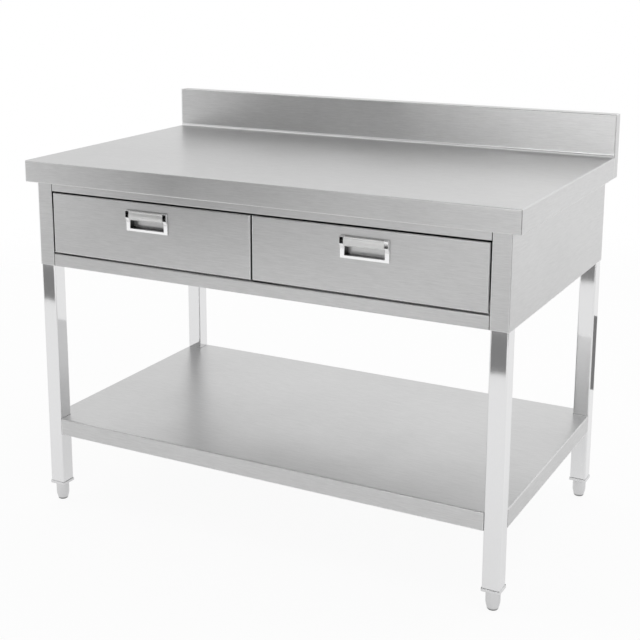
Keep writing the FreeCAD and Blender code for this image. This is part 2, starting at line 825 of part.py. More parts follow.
# Telescopic slides: outer member on the housing, middle member with its ball rows, and inner
# member on the drawer box, the outer and inner ones spot-welded in place
def make_slides(side, sign):
    mounts = (
        ("outside", f"{sign} * bracket_face", -sign),
        ("inside", f"{sign} * divider_half", sign),
    )
    for kind in ("outer", "middle", "inner"):
        for place, base, way in mounts:
            body = new_body(f"drawer_{side}_slide_{kind}_{place}")
            outline = slide_outline(kind, base, way)
            prism(body, "XZ_Plane", outline, "slide_front", "slide_rear")


# Handle housing: a cast frame and cup let into the drawer front, with two ears for the grip
def make_handle_housing(side, sign):
    body = new_body(f"handle_{side}_housing")
    x = f"{sign} * front_x"
    half = "handle_width / 2"
    frame = rectangle(f"{x} - {half}", "handle_bottom", f"{x} + {half}", "handle_top")
    prism(body, "XZ_Plane", frame, "handle_face", "housing_front")
    round_edges(body, edges_at(body, "XZ_Plane", frame), "handle_corner")
    wide = "(cup_half + cup_wall)"
    shell = rectangle(
        f"{x} - {wide}", "cup_low - cup_wall", f"{x} + {wide}", "cup_high + cup_wall"
    )
    prism(body, "XZ_Plane", shell, "housing_front", "cup_back")
    ear = [
        ("handle_face", "handle_top"),
        ("ear_face", "handle_top"),
        ("ear_face", "ear_low + ear_step"),
        ("handle_face", "ear_low"),
    ]
    for near, far in (("cup_half", "cup_half + ear_width"), ("-cup_half - ear_width", "-cup_half")):
        prism(body, "YZ_Plane", ear, f"{x} + {near}", f"{x} + {far}")
    nose = edges_at(body, "YZ_Plane", [("ear_face", "handle_top")])
    round_edges(body, nose, "ear_round")
    chin = edges_at(body, "YZ_Plane", [("ear_face", "ear_low + ear_step")])
    round_edges(body, chin, "ear_round")
    cup = rectangle(f"{x} - cup_half", "cup_low", f"{x} + cup_half", "cup_high")
    prism(body, "XZ_Plane", cup, "handle_face", "cup_back - cup_wall", "Pocket")
    pivot = [("pivot_y", "pivot_z")]
    deep = "(cup_half + pivot_engagement)"
    bores(body, "YZ_Plane", pivot, "pivot_radius", f"{x} + cup_half", f"{x} + {deep}")
    bores(body, "YZ_Plane", pivot, "pivot_radius", f"{x} - {deep}", f"{x} - cup_half")
    radius = "handle_screw_radius + screw_clearance"
    tip = "housing_front - handle_screw_length + drawer_sheet - screw_clearance"
    holes = [(f"{x} {way} ear_screw_x", "ear_screw_z") for way in ("+", "-")]
    bores(body, "XZ_Plane", holes, radius, tip, "housing_front")


# Handle grip: a bowed plate with a knuckle round the pivot pin and a rolled lip
def make_handle_grip(side, sign):
    body = new_body(f"handle_{side}_grip")
    start = f"{sign} * front_x - grip_half"
    end = f"{sign} * front_x + grip_half"
    sketch = new_sketch(body, "YZ_Plane", start)
    draw_bowed_plate(sketch)
    extrude(body, sketch, "YZ_Plane", start, end, "Pad")
    pivot = [("pivot_y", "pivot_z")]
    bores(body, "YZ_Plane", pivot, "knuckle_radius", start, end, "Pad")
    lip = [("lip_y", "lip_z")]
    bores(body, "YZ_Plane", lip, "lip_radius", start, end, "Pad")
    bores(body, "YZ_Plane", pivot, "pivot_radius + pivot_clearance", start, end)


def draw_bowed_plate(sketch):
    """Two arcs about one axis, joined by level ends at the pivot and at the lip."""
    centre = FreeCAD.Vector(value("grip_axis_y"), value("grip_axis_z"), 0)
    half = value("grip_length / 2")
    arcs = []
    for radius in ("grip_curve", "grip_curve - grip_sheet"):
        reach = (value(radius) ** 2 - half**2) ** 0.5
        upper = centre + FreeCAD.Vector(-reach, half, 0)
        lower = centre + FreeCAD.Vector(-reach, -half, 0)
        bow = centre + FreeCAD.Vector(-value(radius), 0, 0)
        arcs.append(Part.Arc(upper, bow, lower))
    faces = [sketch.addGeometry(arc) for arc in arcs]
    tips = []
    for arc in arcs:
        shape = arc.toShape()
        tips.append([shape.Vertexes[0].Point, shape.Vertexes[1].Point])
    ends = []
    for number in range(2):
        line = Part.LineSegment(tips[0][number], tips[1][number])
        ends.append(sketch.addGeometry(line))
        sketch.addConstraint(
            [
                Sketcher.Constraint("Coincident", ends[number], 1, faces[0], number + 1),
                Sketcher.Constraint("Coincident", ends[number], 2, faces[1], number + 1),
                Sketcher.Constraint("Horizontal", ends[number]),
            ]
        )
    sketch.addConstraint(Sketcher.Constraint("Coincident", faces[0], 3, faces[1], 3))
    bind_point(sketch, faces[0], 3, "grip_axis_y", "grip_axis_z")
    for face, radius in zip(faces, ("grip_curve", "grip_curve - grip_sheet")):
        number = sketch.addConstraint(Sketcher.Constraint("Radius", face, value(radius)))
        sketch.setExpression(f"Constraints[{number}]", cell(radius))
    for number, tip in enumerate(tips[0]):
        text = "pivot_z" if tip.y > centre.y else "lip_z"
        place = Sketcher.Constraint("DistanceY", faces[0], number + 1, value(text))
        sketch.setExpression(f"Constraints[{sketch.addConstraint(place)}]", cell(text))


# Handle pivot pin: held in both ears, with the grip's knuckle turning on it
def make_handle_pin(side, sign):
    body = new_body(f"handle_{side}_pin")
    reach = "(cup_half + pivot_engagement)"
    start = f"{sign} * front_x - {reach}"
    end = f"{sign} * front_x + {reach}"
    bores(body, "YZ_Plane", [("pivot_y", "pivot_z")], "pivot_radius", start, end, "Pad")


# Handle screws: from behind the drawer front into the ears of the housing
def make_handle_screws(side, sign):
    forward = FreeCAD.Vector(0, -1, 0)
    seats = []
    for way in ("+", "-"):
        x = f"{sign} * front_x {way} ear_screw_x"
        seats.append((x, "housing_front + drawer_sheet", "ear_screw_z", forward))
    head = (SHANK_SIDES, "handle_screw_head_radius", "handle_screw_head_height")
    shank = (SHANK_SIDES, "handle_screw_radius", "handle_screw_length")
    fasteners(f"handle_{side}_screws", seats, head, shank)


make_worktop()
shelf_run = "leg_outer - shelf_sheet - stiffener_gap"
top_run = "panel_inner - stiffener_gap"
for end, facing in ENDS:
    y = f"({-facing} * stiffener_spacing / 2)"
    channel = ("stiffener_height", top_run, "housing_sheet")
    make_hat_channel(f"worktop_stiffener_{end}", y, "top_under", *channel)
make_back_panel()
make_front_rail("front_top_rail", "opening_top", "top_under")
make_front_rail("front_bottom_rail", "housing_bottom", "opening_bottom")
make_centre_divider()
make_shelf()
channel = ("shelf_stiffener_height", shelf_run, "shelf_sheet")
make_hat_channel("shelf_stiffener", "0", "shelf_under", *channel)
for side, sign in SIDES:
    make_backsplash_end(side, sign)
    make_side_panel(side, sign)
    make_slide_bracket(side, sign)
    for end, facing in ENDS:
        make_leg(end, facing, side, sign)
        make_leg_plug(end, facing, side, sign)
        make_foot(end, facing, side, sign)
        make_corner_bracket(end, facing, side, sign)
    make_slides(side, sign)
    make_drawer_front(side, sign)
    make_drawer_liner(side, sign)
    make_drawer_box(side, sign)
    make_handle_housing(side, sign)
    make_handle_grip(side, sign)
    make_handle_pin(side, sign)
    make_handle_screws(side, sign)
make_shelf_nuts()

document.recompute()
for made in document.Objects:
    if "Invalid" in made.State or "Error" in made.State:
        raise RuntimeError(f"{made.Label} failed: {made.State}")
for node in nodes:
    if node.Shape.isNull() or not node.Shape.isValid():
        raise RuntimeError(f"{node.Label} has no valid shape")
os.makedirs("parts", exist_ok=True)
for node in nodes:
    node.Shape.exportStep(f"parts/{node.Label}.step")
print(len(nodes), "sub-parts written")
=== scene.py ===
"""Stainless steel worktable with an upstand, two drawers, a shelf and levelling feet."""

import math

import bmesh
import bpy
from mathutils import Matrix, Vector


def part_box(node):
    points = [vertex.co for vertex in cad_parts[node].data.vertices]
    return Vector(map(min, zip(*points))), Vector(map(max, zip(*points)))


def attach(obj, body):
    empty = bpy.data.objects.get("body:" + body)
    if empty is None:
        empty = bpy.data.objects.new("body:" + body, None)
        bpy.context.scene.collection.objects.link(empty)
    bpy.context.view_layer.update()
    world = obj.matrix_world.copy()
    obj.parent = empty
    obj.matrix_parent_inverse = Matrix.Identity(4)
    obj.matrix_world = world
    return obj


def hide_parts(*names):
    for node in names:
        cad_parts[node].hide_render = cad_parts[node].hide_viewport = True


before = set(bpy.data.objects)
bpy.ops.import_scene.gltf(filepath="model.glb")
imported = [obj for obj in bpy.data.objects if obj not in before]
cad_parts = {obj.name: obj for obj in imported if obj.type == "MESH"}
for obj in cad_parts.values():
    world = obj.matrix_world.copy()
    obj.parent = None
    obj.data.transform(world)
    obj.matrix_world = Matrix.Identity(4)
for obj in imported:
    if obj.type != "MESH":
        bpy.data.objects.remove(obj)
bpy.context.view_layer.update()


# Worktop and backsplash: 1.5 mm stainless sheet with a straight brushed grain, folded into a pan
# whose rear edge stands up, and closed by a welded plate at each end. The belt ran along the
# table, and along the depth on the faces that look sideways.
def wire(tree, *pairs):
    """Feeds sockets: a node stands for its first output, and a plain value is set."""
    for source, target in pairs:
        if isinstance(source, bpy.types.Node):
            source = source.outputs[0]
        if isinstance(source, bpy.types.NodeSocket):
            tree.links.new(source, target)
        else:
            target.default_value = source


def node(tree, kind, given=None, **settings):
    """A new node with its settings and with what its inputs are given, where a list is joined."""
    made = tree.nodes.new(kind)
    for name, setting in settings.items():
        setattr(made, name, setting)
    for place, sources in (given or {}).items():
        for source in sources if isinstance(sources, list) else [sources]:
            wire(tree, (source, made.inputs[place]))
    return made


def reckoned(tree, operation, *given):
    """A value worked out from others by a Math node's operation."""
    return node(tree, "ShaderNodeMath", dict(enumerate(given)), operation=operation)


def ramp(tree, source, start, end, low=0.0, high=1.0, kind="LINEAR"):
    """A value that goes from low to high as the source goes from start to end, either way round."""
    given = {"Value": source, "From Min": start, "From Max": end, "To Min": low, "To Max": high}
    return node(tree, "ShaderNodeMapRange", given, interpolation_type=kind)


def mixed(tree, first, second, share):
    """A value that goes from the first to the second as the share goes from 0 to 1."""
    # Sockets 2 and 3 of a Mix node are its two values.
    return node(tree, "ShaderNodeMix", {"Factor": share, 2: first, 3: second})


def tinted(tree, first, second, share):
    """A colour that goes from the first to the second as the share goes from 0 to 1."""
    first, second = ((*end, 1) if isinstance(end, tuple) else end for end in (first, second))
    # Sockets 6 and 7 of a Mix node are its two colours, and output 2 is what they make.
    mix = node(tree, "ShaderNodeMix", {"Factor": share, 6: first, 7: second}, data_type="RGBA")
    return mix.outputs[2]


def shader_group(name, inputs, outputs):
    """An empty shared shader group; gives the group, what it is given and what it shows."""
    tree = bpy.data.node_groups.new(name, "ShaderNodeTree")
    for label, start in inputs.items():
        socket = tree.interface.new_socket(name=label, in_out="INPUT", socket_type="NodeSocketFloat")
        socket.default_value = start
    for label, kind in outputs.items():
        tree.interface.new_socket(name=label, in_out="OUTPUT", socket_type=f"NodeSocket{kind}")
    return tree, node(tree, "NodeGroupInput").outputs, node(tree, "NodeGroupOutput").inputs


def shared(tree, name, given=None):
    """What a shared group shows when it is placed in a material with its own values."""
    return node(tree, "ShaderNodeGroup", given, node_tree=bpy.data.node_groups[name]).outputs


def brushed_grain():
    """Fine lines, broader streaks and slow clouds, along X, or along Y on faces that look along X."""
    tree, given, shown = shader_group(
        "brushed_grain",
        {"Line width": 0.0008, "Line length": 0.04, "Streak": 3.0, "Cloud size": 0.25},
        {"Lines": "Float", "Streaks": "Float", "Cloud": "Float"},
    )
    place = node(tree, "ShaderNodeTexCoord").outputs
    spot = node(tree, "ShaderNodeSeparateXYZ", {0: place["Object"]}).outputs
    facing = node(tree, "ShaderNodeSeparateXYZ", {0: place["Normal"]}).outputs
    full, slack = 1.0, 0.3
    sideways = reckoned(tree, "COMPARE", reckoned(tree, "ABSOLUTE", facing["X"]), full, slack)
    along = mixed(tree, spot["X"], spot["Y"], sideways)
    across = mixed(tree, spot["Y"], spot["X"], sideways)
    # Turned on a slant, the noise shows none of its own grid.
    axis, slant = (1.0, 1.0, 1.0), 0.7
    for name, broader, detail in (("Lines", False, 1.0), ("Streaks", True, 3.0)):
        drawn = {}
        for way, source, size in (
            ("X", along, "Line length"),
            ("Y", across, "Line width"),
            ("Z", spot["Z"], "Line width"),
        ):
            drawn[way] = reckoned(tree, "DIVIDE", source, given[size])
            if broader:
                drawn[way] = reckoned(tree, "DIVIDE", drawn[way], given["Streak"])
        straight = node(tree, "ShaderNodeCombineXYZ", drawn)
        aslant = node(tree, "ShaderNodeVectorRotate", {"Vector": straight, "Axis": axis, "Angle": slant})
        noise = node(tree, "ShaderNodeTexNoise", {"Vector": aslant, "Scale": 1.0, "Detail": detail})
        wire(tree, (noise, shown[name]))
    close = reckoned(tree, "DIVIDE", 1.0, given["Cloud size"])
    cloud = node(tree, "ShaderNodeTexNoise", {"Vector": place["Object"], "Scale": close, "Detail": 2.0})
    wire(tree, (cloud, shown["Cloud"]))


def softened_edges():
    """The normal over edges that handling has rounded, and a mask that is 1 along them."""
    outputs = {"Normal": "Vector", "Edge": "Float"}
    tree, given, shown = shader_group("softened_edges", {"Radius": 0.002}, outputs)
    rounded = node(tree, "ShaderNodeBevel", {"Radius": given["Radius"]}, samples=6).outputs["Normal"]
    flat = node(tree, "ShaderNodeNewGeometry").outputs["Normal"]
    turn = node(tree, "ShaderNodeVectorMath", {0: rounded, 1: flat}, operation="DOT_PRODUCT")
    no_turn, full_turn = 0.998, 0.94
    edge = ramp(tree, turn.outputs["Value"], no_turn, full_turn)
    wire(tree, (rounded, shown["Normal"]), (edge, shown["Edge"]))


def seam_shade():
    """A mask that is 1 deep in gaps and seams, where painted shade goes."""
    tree, given, shown = shader_group("seam_shade", {"Gap": 0.008}, {"Seam": "Float"})
    openness = node(tree, "ShaderNodeAmbientOcclusion", {"Distance": given["Gap"]}, samples=8)
    open_level, shaded_level = 0.6, 0.3
    wire(tree, (ramp(tree, openness.outputs["AO"], open_level, shaded_level), shown["Seam"]))


def steel(name):
    """A bare metal material, with its node tree and its shader's inputs."""
    material = bpy.data.materials.new(name)
    material.use_nodes = True
    shader = material.node_tree.nodes["Principled BSDF"].inputs
    shader["Metallic"].default_value = 1.0
    return material, material.node_tree, shader


def brushed_steel(name, light, dark, smooth, rough, depth, radius, width, length):
    """Brushed sheet: two greys that the streaks mix, and a roughness that varies in clouds.

    Its lines have a depth, a width and a length, and its edges are rounded to a radius and carry a
    painted highlight.
    """
    material, tree, shader = steel(name)
    grain = shared(tree, "brushed_grain", {"Line width": width, "Line length": length})
    edges = shared(tree, "softened_edges", {"Radius": radius})
    seams = shared(tree, "seam_shade")
    fine_share, edge_highlight_share, edge_highlight_grey, gap_shade_grey = 0.4, 0.85, (0.96, 0.96, 0.96), (0.03, 0.03, 0.03)
    cloud_low, cloud_high = 0.3, 0.7
    tone = tinted(tree, dark, light, mixed(tree, grain["Streaks"], grain["Lines"], fine_share))
    # Painted highlight: the base colour goes near white along edges.
    edge_highlighted = tinted(tree, tone, edge_highlight_grey, reckoned(tree, "MULTIPLY", edges["Edge"], edge_highlight_share))
    sheen = ramp(tree, grain["Cloud"], cloud_low, cloud_high, smooth, rough)
    relief = {"Distance": depth, "Height": grain["Lines"], "Normal": edges["Normal"]}
    # Painted shade: the base colour goes near black deep in gaps and seams.
    wire(
        tree,
        (tinted(tree, edge_highlighted, gap_shade_grey, seams["Seam"]), shader["Base Color"]),
        (sheen, shader["Roughness"]),
        (node(tree, "ShaderNodeBump", relief), shader["Normal"]),
    )
    return material


def shaded_point(tree):
    """The X, Y and Z of the point that is shaded."""
    place = node(tree, "ShaderNodeTexCoord").outputs["Object"]
    return node(tree, "ShaderNodeSeparateXYZ", {0: place}).outputs


def lay_over(material, colour, mask):
    """Gives a material another colour where the mask is 1."""
    tree = material.node_tree
    base = tree.nodes["Principled BSDF"].inputs["Base Color"]
    wire(tree, (tinted(tree, base.links[0].from_socket, colour, mask), base))


def cove_highlight(material, front, foot, height):
    """Paints a highlight on the cove at the upstand's foot, along its whole length."""
    tree = material.node_tree
    spot = shaded_point(tree)
    front_fade, foot_gap, foot_fade, top_fade = 0.001, 0.0001, 0.0003, 0.0008
    behind = ramp(tree, spot["Y"], front - front_fade, front)
    above = ramp(tree, spot["Z"], foot + foot_gap, foot + foot_gap + foot_fade)
    below = ramp(tree, spot["Z"], foot + height, foot + height - top_fade)
    inside = reckoned(tree, "MULTIPLY", reckoned(tree, "MULTIPLY", behind, above), below)
    # A painted highlight, near white in the base colour.
    lay_over(material, (0.98, 0.98, 0.98), inside)


def dress(material, *names):
    """Gives CAD nodes their finish."""
    for name in names:
        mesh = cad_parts[name].data
        mesh.materials.clear()
        mesh.materials.append(material)


brushed_grain()
softened_edges()
seam_shade()
sheet_look = {
    "light": (0.73, 0.73, 0.73),
    "dark": (0.49, 0.49, 0.49),
    "smooth": 0.285,
    "rough": 0.34,
    "depth": 0.00002,
    "radius": 0.003,
    "width": 0.0008,
    "length": 0.012,
}
sheet_steel = brushed_steel("brushed_sheet", **sheet_look)
worktop_steel = brushed_steel("brushed_worktop", **sheet_look)
# A painted highlight along the cove at the upstand's foot.
cove_highlight(worktop_steel, front=0.314, foot=0.85, height=0.0062)
mill_sheet = brushed_steel(
    "mill_sheet",
    light=(0.46, 0.46, 0.47),
    dark=(0.36, 0.36, 0.37),
    smooth=0.42,
    rough=0.52,
    depth=0.00002,
    radius=0.0015,
    width=0.002,
    length=0.02,
)
dress(worktop_steel, "worktop")
dress(sheet_steel, "backsplash_end_left", "backsplash_end_right")
dress(mill_sheet, "worktop_stiffener_front", "worktop_stiffener_back")


# Drawer housing: side panels folded round the corners as posts, folded channels between them at
# the front and back, a divider, and channels that carry the slides. What shows is brushed, and
# what the drawers hide keeps the dull mill finish. Spot welds hold it out of sight.
def joint_end_shade(material, end, reach):
    """Paints shade on a sheet where its two ends butt against others, so that the joint reads as a dark
    line.
    """
    tree = material.node_tree
    across = reckoned(tree, "ABSOLUTE", shaded_point(tree)["X"])
    # Painted shade: the ends go near black.
    lay_over(material, (0.05, 0.05, 0.05), ramp(tree, across, end - reach, end - reach * 0.5))


rail_steel = brushed_steel("brushed_rail", **{**sheet_look, "radius": 0.001})
rail_end = max(point.co.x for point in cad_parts["front_top_rail"].data.vertices)
# Painted shade at the rail ends.
joint_end_shade(rail_steel, rail_end, reach=0.0016)
dress(rail_steel, "front_top_rail", "front_bottom_rail")
dress(sheet_steel, "side_panel_left", "side_panel_right", "back_panel")
dress(mill_sheet, "centre_divider", "slide_bracket_left", "slide_bracket_right")


# Legs: 38 mm square tube, ground and then polished to a mirror along its length, with the faint
# waves that polishing leaves in a thin wall.
def polished_steel(name, light, dark, smooth, rough, wave, stretch, depth, radius):
    """Polished metal: two greys and a roughness that vary together in fine lines.

    Its waves have a size, a stretch along Z and a depth, and its edges are rounded to a radius.
    """
    material, tree, shader = steel(name)
    edges = shared(tree, "softened_edges", {"Radius": radius})
    place = node(tree, "ShaderNodeTexCoord").outputs["Object"]
    scale = (1 / wave, 1 / wave, 1 / wave / stretch)
    spread = node(tree, "ShaderNodeMapping", {"Vector": place, "Scale": scale})
    waves = node(tree, "ShaderNodeTexNoise", {"Vector": spread, "Scale": 1.0, "Detail": 0.5})
    lines = node(tree, "ShaderNodeTexNoise", {"Vector": spread, "Scale": 24.0, "Detail": 3.0})
    relief = {"Distance": depth, "Height": waves, "Normal": edges["Normal"]}
    wire(
        tree,
        (tinted(tree, dark, light, lines), shader["Base Color"]),
        (ramp(tree, lines, 0.0, 1.0, smooth, rough), shader["Roughness"]),
        (node(tree, "ShaderNodeBump", relief), shader["Normal"]),
    )
    return material


corners = [f"{end}_{side}" for end in ("front", "back") for side in ("left", "right")]
tube_steel = polished_steel(
    "polished_tube",
    light=(0.85, 0.85, 0.85),
    dark=(0.8, 0.8, 0.81),
    smooth=0.03,
    rough=0.08,
    wave=0.03,
    stretch=6,
    depth=0.00015,
    radius=0.0025,
)
dress(tube_steel, *[f"leg_{corner}" for corner in corners])


# Leg plugs and levelling feet: turned stainless, polished. The plug is pressed into the tube down
# to its flange. The foot is a bullet on a threaded stem that screws into the plug.
def kept(name, shape):
    """Makes a finished bmesh an object whose faces are smooth where they meet gently."""
    gently = math.radians(35)
    mesh = bpy.data.meshes.new(name)
    shape.to_mesh(mesh)
    shape.free()
    mesh.shade_smooth()
    mesh.set_sharp_from_angle(angle=gently)
    piece = bpy.data.objects.new(name, mesh)
    bpy.context.scene.collection.objects.link(piece)
    return piece


def revolved(name, outline, middle, steps):
    """A turned piece: radius and height pairs from the axis, round a vertical line through middle."""
    shape = bmesh.new()
    rings = []
    for radius, height in outline:
        turns = [2 * math.pi * step / steps for step in range(steps if radius else 1)]
        spots = [(radius * math.cos(turn), radius * math.sin(turn)) for turn in turns]
        rings.append([shape.verts.new((middle[0] + x, middle[1] + y, height)) for x, y in spots])
    for low, high in zip(rings, rings[1:]):
        for step in range(steps):
            after = (step + 1) % steps
            quad = ((low, step), (low, after), (high, after), (high, step))
            shape.faces.new(dict.fromkeys(ring[place % len(ring)] for ring, place in quad))
    bmesh.ops.recalc_face_normals(shape, faces=shape.faces)
    return kept(name, shape)


def grown(piece, tree, sizes):
    """Runs a Geometry Nodes tree on a piece and keeps the result as its plain mesh."""
    modifier = piece.modifiers.new("grown", "NODES")
    modifier.node_group = tree
    for socket in tree.interface.items_tree:
        if socket.in_out == "INPUT" and socket.name in sizes:
            modifier[socket.identifier] = sizes[socket.name]
    piece.update_tag()
    ready = piece.evaluated_get(bpy.context.evaluated_depsgraph_get())
    mesh = bpy.data.meshes.new_from_object(ready)
    piece.modifiers.remove(modifier)
    piece.data = mesh


def sized_tree(name, sizes):
    """An empty Geometry Nodes tree with named inputs; gives the tree and what it is given."""
    tree = bpy.data.node_groups.new(name, "GeometryNodeTree")
    for size, kind in {"Piece": "Geometry", **sizes, "Finish": "Material"}.items():
        tree.interface.new_socket(name=size, in_out="INPUT", socket_type=f"NodeSocket{kind}")
    tree.interface.new_socket(name="Piece", in_out="OUTPUT", socket_type="NodeSocketGeometry")
    return tree, node(tree, "NodeGroupInput").outputs


def finished(tree, geometry, finish):
    """Ends a tree: instances made real, then the finish set."""
    real = node(tree, "GeometryNodeRealizeInstances", {0: geometry})
    dressed = node(tree, "GeometryNodeSetMaterial", {"Geometry": real, "Material": finish})
    node(tree, "NodeGroupOutput", {0: dressed})
    return tree


def thread_tree():
    """Adds a thread, a ridge wound round a vertical axis, to a turned piece."""
    sizes = {"Foot of thread": "Vector", "Radius": "Float", "Pitch": "Float", "Length": "Float"}
    tree, given = sized_tree("thread", sizes)
    wound = node(
        tree,
        "GeometryNodeCurveSpiral",
        {
            "Resolution": 20,
            "Rotations": reckoned(tree, "DIVIDE", given["Length"], given["Pitch"]),
            "Start Radius": given["Radius"],
            "End Radius": given["Radius"],
            "Height": given["Length"],
        },
    )
    thick = reckoned(tree, "MULTIPLY", given["Pitch"], 0.3)
    crest = node(tree, "GeometryNodeCurvePrimitiveCircle", {"Resolution": 3, "Radius": thick})
    swept = {"Curve": wound, "Profile Curve": crest, "Fill Caps": True}
    ridge = node(tree, "GeometryNodeCurveToMesh", swept)
    placed = {"Geometry": ridge, "Translation": given["Foot of thread"]}
    put = node(tree, "GeometryNodeTransform", placed)
    join = node(tree, "GeometryNodeJoinGeometry", {0: [put, given["Piece"]]})
    return finished(tree, join, given["Finish"])


def foot_contact_shade(material, shade_from, dark):
    """Paints shade on a foot where it stands on the floor, darker towards the bottom, below the given
    height.
    """
    tree = material.node_tree
    # Painted shade of the floor contact, darkest at the bottom.
    lay_over(material, dark, ramp(tree, shaded_point(tree)["Z"], shade_from, shade_from * 0.3))


turned_look = {"wave": 0.012, "stretch": 1, "depth": 0.00003, "radius": 0.0012}
fitting_steel = polished_steel(
    "polished_fitting",
    light=(0.8, 0.8, 0.8),
    dark=(0.7, 0.7, 0.71),
    smooth=0.06,
    rough=0.14,
    **turned_look,
)
dress(fitting_steel, *[f"leg_plug_{corner}" for corner in corners])
foot_steel = polished_steel(
    "polished_foot",
    light=(0.76, 0.76, 0.76),
    dark=(0.64, 0.64, 0.65),
    smooth=0.1,
    rough=0.18,
    **turned_look,
)
# Painted shade at the bottom of the feet.
foot_contact_shade(foot_steel, shade_from=0.006, dark=(0.12, 0.12, 0.12))
thread = thread_tree()
# The radius and height of each ring: the foot's pad and flank, its widest part, and the stem.
bullet = [(0.0, 0.0), (0.0092, 0.0), (0.0108, 0.0006), (0.0118, 0.002), (0.0132, 0.0072)]
bullet += [(0.0146, 0.0126), (0.0152, 0.0158)]
bullet += [(0.0155, 0.019), (0.0155, 0.0424), (0.0151, 0.0433), (0.0142, 0.0437)]
bullet += [(0.0056, 0.0437), (0.0054, 0.044), (0.0054, 0.0925), (0.0042, 0.0937), (0.0, 0.0937)]
thread_foot, thread_radius, pitch, thread_length = 0.0448, 0.0053, 0.00175, 0.0472
for corner in corners:
    low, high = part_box(f"foot_{corner}")
    middle = ((low[0] + high[0]) / 2, (low[1] + high[1]) / 2)
    foot = revolved(f"levelling_foot_{corner}", bullet, middle, steps=48)
    thread_sizes = {
        "Foot of thread": (*middle, thread_foot),
        "Radius": thread_radius,
        "Pitch": pitch,
        "Length": thread_length,
        "Finish": foot_steel,
    }
    grown(foot, thread, thread_sizes)
    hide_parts(f"foot_{corner}")
    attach(foot, f"foot_{corner}")


# Shelf: a tray of 1.2 mm brushed sheet with its edges folded down and in, notched round the legs.
# A hat channel stiffens it from below, and a corner bracket, stud and nut hold it to each leg.
def nut_tree():
    """Chamfered hexagon nuts with the stud's end, on a grid of seats, pointing at the middle."""
    sizes = {"Grid": "Vector", "Middle": "Vector"}
    sizes |= {"Nut radius": "Float", "Nut height": "Float", "Stud": "Float", "Tail": "Float"}
    tree, given = sized_tree("shelf_nuts", sizes)

    def raised(piece, height):
        """Lifts a piece by half its height, so that it stands on its seat."""
        lift = node(tree, "ShaderNodeCombineXYZ", {"Z": reckoned(tree, "MULTIPLY", height, 0.5)})
        return node(tree, "GeometryNodeTransform", {"Geometry": piece, "Translation": lift})

    block = {"Vertices": 6, "Radius": given["Nut radius"], "Depth": given["Nut height"]}
    # A ball a little wider than the nut cuts its corners off.
    past_corners = reckoned(tree, "MULTIPLY", given["Nut radius"], 1.03)
    dome = {"Segments": 36, "Rings": 18, "Radius": past_corners}
    both = [node(tree, "GeometryNodeMeshCylinder", block), node(tree, "GeometryNodeMeshUVSphere", dome)]
    nut = node(tree, "GeometryNodeMeshBoolean", {"Mesh 2": both}, operation="INTERSECT")
    reach = reckoned(tree, "ADD", given["Nut height"], given["Tail"])
    stud = {"Vertices": 20, "Radius": given["Stud"], "Depth": reach}
    stand = raised(node(tree, "GeometryNodeMeshCylinder", stud), reach)
    bolt = node(tree, "GeometryNodeJoinGeometry", {0: [raised(nut, given["Nut height"]), stand]})
    apart = node(tree, "ShaderNodeSeparateXYZ", {0: given["Grid"]}).outputs
    two_by_two = {"Vertices X": 2, "Vertices Y": 2, "Size X": apart["X"], "Size Y": apart["Y"]}
    seats = node(tree, "GeometryNodeMeshGrid", two_by_two)
    moved = node(tree, "GeometryNodeTransform", {"Geometry": seats, "Translation": given["Middle"]})
    spot = node(tree, "ShaderNodeSeparateXYZ", {0: node(tree, "GeometryNodeInputPosition")}).outputs
    inward = node(tree, "ShaderNodeCombineXYZ", {"X": reckoned(tree, "MULTIPLY", spot["X"], -1)})
    turn = node(tree, "FunctionNodeAlignRotationToVector", {"Vector": inward})
    copied = {"Points": moved, "Instance": bolt, "Rotation": turn}
    return finished(tree, node(tree, "GeometryNodeInstanceOnPoints", copied), given["Finish"])


dress(sheet_steel, "shelf", "shelf_stiffener", *[f"shelf_bracket_{corner}" for corner in corners])
screw_steel = polished_steel(
    "screw_steel",
    light=(0.7, 0.7, 0.7),
    dark=(0.55, 0.55, 0.56),
    smooth=0.29,
    rough=0.36,
    wave=0.004,
    stretch=1,
    depth=0.00004,
    radius=0.0004,
)
low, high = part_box("shelf_nuts")
nut_radius = 0.0058
nut_sizes = {
    "Grid": (2 * high[0], high[1] - low[1] - 2 * nut_radius, 0),
    "Middle": (0, (low[1] + high[1]) / 2, (low[2] + high[2]) / 2),
    "Nut radius": nut_radius,
    "Nut height": 0.005,
    "Stud": 0.003,
    "Tail": 0.0015,
    "Finish": screw_steel,
}
nuts = bpy.data.objects.new("shelf_corner_nuts", bpy.data.meshes.new("shelf_corner_nuts"))
bpy.context.scene.collection.objects.link(nuts)
grown(nuts, nut_tree(), nut_sizes)
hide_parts("shelf_nuts")
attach(nuts, "frame")


# Drawers: a front folded back on all four sides and lined from behind, spot-welded to a folded
# box of the same brushed sheet.
for side in ("left", "right"):
    dress(sheet_steel, *[f"drawer_{side}_{part}" for part in ("front", "front_liner", "box")])


# Telescopic slides: rolled steel strip, bright zinc plated, with three members each. The middle
# member runs on rows of balls in the outer one and carries the inner one on two more rows.
def rolled_strip(name, section, start, end):
    """A strip rolled to a closed section of X and Z pairs, from start to end along Y."""
    shape = bmesh.new()
    face = shape.faces.new([shape.verts.new((x, start, z)) for x, z in section])
    drawn = bmesh.ops.extrude_face_region(shape, geom=[face])
    moved = [part for part in drawn["geom"] if isinstance(part, bmesh.types.BMVert)]
    bmesh.ops.translate(shape, verts=moved, vec=(0, end - start, 0))
    bmesh.ops.recalc_face_normals(shape, faces=shape.faces)
    return kept(name, shape)


